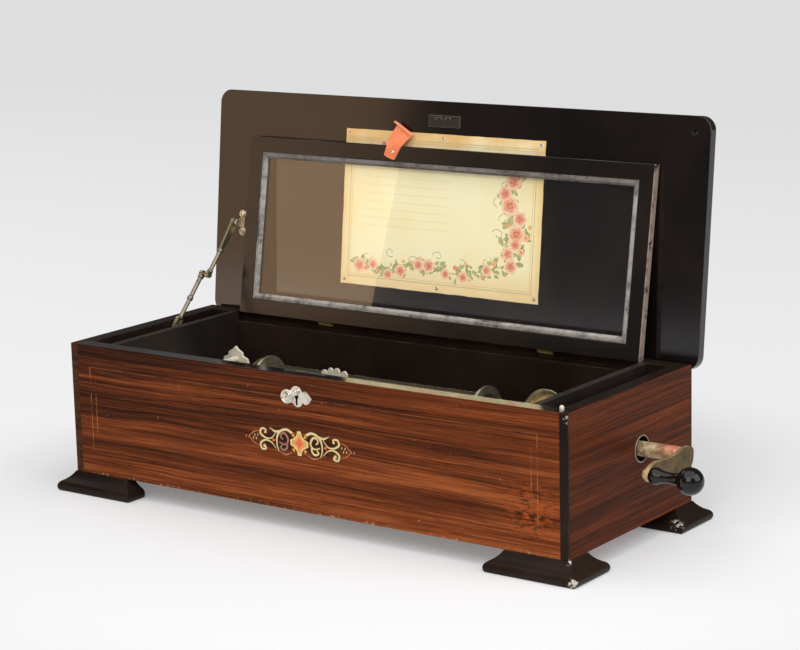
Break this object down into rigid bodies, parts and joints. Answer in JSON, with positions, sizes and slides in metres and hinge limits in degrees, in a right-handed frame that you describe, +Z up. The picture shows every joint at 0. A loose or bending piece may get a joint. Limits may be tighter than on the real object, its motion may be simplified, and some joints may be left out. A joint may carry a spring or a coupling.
{
  "type": "wind-up cylinder music box",
  "caption": "Crank-wound cylinder music box in a low footed case, with a hinged lid on a folding stay, a glazed inner lid and a comb movement.",
  "frame": {"origin": "on the table under the middle of the case", "axes": "+X towards the crank end, +Y towards the back, +Z up"},
  "size_m": [0.7182, 0.2869, 0.3908],
  "materials": {
    "black_wood": "ebonised gloss",
    "veneer": "grained rosewood, polished",
    "inner_wood": "dark stained",
    "raw_wood": "plain pine",
    "brass": "aged",
    "nickel": "worn nickel plate",
    "steel": "bright",
    "iron": "painted silver",
    "glass": "clear sheet",
    "putty": "worn grey strip",
    "paper": "printed sheet",
    "leather": "red-orange"
  },
  "bodies": {
    "case": {"case_front": "black_wood", "case_back": "black_wood", "case_left_end": "black_wood", "case_right_end": "black_wood", "case_bottom": "raw_wood", "left_partition": "inner_wood", "right_partition": "inner_wood", "front_veneer": "veneer", "end_veneers": "veneer", "corner_strips": "black_wood", "feet": "black_wood", "inner_battens": "raw_wood", "lid_stud": "brass", "lid_hinge_case_leaves": "brass", "glass_hinge_case_leaves": "brass", "lock_body": "steel", "escutcheon": "nickel", "crank_bush": "nickel", "stay_screw": "steel", "bedplate": "iron", "comb_base": "brass", "comb": "steel", "comb_screws": "steel", "cylinder_bearings": "iron", "barrel_cocks": "iron", "governor_frame": "brass", "governor_cock": "nickel", "zither_brackets": "steel"},
    "lid": {"lid": "black_wood", "lid_hinge_leaves": "brass", "lock_link_plate": "steel", "tune_sheet": "paper", "tune_sheet_tacks": "steel", "stay_bracket": "brass"},
    "stay_upper": {"stay_upper_link": "brass"},
    "stay_lower": {"stay_lower_link": "brass"},
    "glass_lid": {"glass_lid_frame": "black_wood", "glass_pane": "glass", "glazing_strips": "putty", "glass_hinge_leaves": "brass", "pull_tab": "leather", "pull_tab_pin": "nickel"},
    "keyhole_cover": {"keyhole_cover": "nickel"},
    "crank": {"crank_shaft": "steel", "crank_arm": "steel", "ratchet_wheel": "steel"},
    "crank_handle": {"crank_handle": "black_wood"},
    "cylinder": {"cylinder": "brass", "cylinder_arbor": "steel", "cylinder_wheel": "brass"},
    "barrel": {"spring_barrel": "brass", "barrel_cover": "brass", "great_wheel": "brass", "mainspring": "steel"},
    "governor_arbor": {"governor_arbor": "steel"},
    "governor_fly": {"governor_fly": "steel"},
    "click": {"click": "steel"},
    "zither": {"zither_bar": "brass", "zither_roll": "paper", "zither_lever": "nickel"}
  },
  "joints": [
    {"name": "lid_hinge", "type": "hinge", "parent": "case", "child": "lid", "pos_m": [0, 0.12, 0.1563], "axis": [1, 0, 0], "range_deg": [0, 96.4], "deforming": ["pull_tab"]},
    {"name": "glass_lid_hinge", "type": "hinge", "parent": "case", "child": "glass_lid", "pos_m": [0, 0.106, 0.1538], "axis": [1, 0, 0], "range_deg": [0, 99.88]},
    {"name": "stay_lower_pivot", "type": "hinge", "parent": "case", "child": "stay_lower", "pos_m": [-0.2805, 0.028, 0.1483], "axis": [1, 0, 0], "range_deg": [0, 133.23]},
    {"name": "stay_upper_pivot", "type": "hinge", "parent": "lid", "child": "stay_upper", "pos_m": [-0.274, 0.1223, 0.24862], "axis": [1, 0, 0], "range_deg": [-143.17, 0]},
    {"name": "keyhole_cover_swing", "type": "hinge", "parent": "case", "child": "keyhole_cover", "pos_m": [-0.0044, -0.1152, 0.1394], "axis": [0, 1, 0], "range_deg": [-64.4, 0]},
    {"name": "crank_turn", "type": "hinge", "parent": "case", "child": "crank", "pos_m": [0.3, 0.017, 0.0945], "axis": [1, 0, 0], "continuous": true},
    {"name": "handle_spin", "type": "hinge", "parent": "crank", "child": "crank_handle", "pos_m": [0.38, -0.05298, 0.09267], "axis": [1, 0, 0], "continuous": true},
    {"name": "cylinder_turn", "type": "hinge", "parent": "case", "child": "cylinder", "pos_m": [0, 0.06784, 0.0905], "axis": [1, 0, 0], "continuous": true},
    {"name": "barrel_turn", "type": "hinge", "parent": "case", "child": "barrel", "pos_m": [0.215, 0.017, 0.0945], "axis": [1, 0, 0], "continuous": true},
    {"name": "governor_turn", "type": "hinge", "parent": "case", "child": "governor_arbor", "pos_m": [-0.212, 0.03784, 0.0905], "axis": [1, 0, 0], "continuous": true},
    {"name": "fly_turn", "type": "hinge", "parent": "case", "child": "governor_fly", "pos_m": [-0.212, 0.02524, 0.095], "axis": [0, 0, 1], "continuous": true},
    {"name": "click_lift", "type": "hinge", "parent": "case", "child": "click", "pos_m": [0.18, 0.043, 0.1115], "axis": [1, 0, 0], "range_deg": [-15, 0]},
    {"name": "zither_tilt", "type": "hinge", "parent": "case", "child": "zither", "pos_m": [0.002, 0.01234, 0.1], "axis": [1, 0, 0], "range_deg": [-12, 0]}
  ],
  "couplings": [
    {"joint": "glass_lid_hinge", "follows": "lid_hinge", "ratio": 1.0361},
    {"joint": "stay_lower_pivot", "follows": "lid_hinge", "ratio": 1.3821},
    {"joint": "stay_upper_pivot", "follows": "lid_hinge", "ratio": -1.4852},
    {"joint": "barrel_turn", "follows": "cylinder_turn", "ratio": -0.21429},
    {"joint": "governor_turn", "follows": "cylinder_turn", "ratio": -4},
    {"joint": "fly_turn", "follows": "cylinder_turn", "ratio": 96}
  ]
}
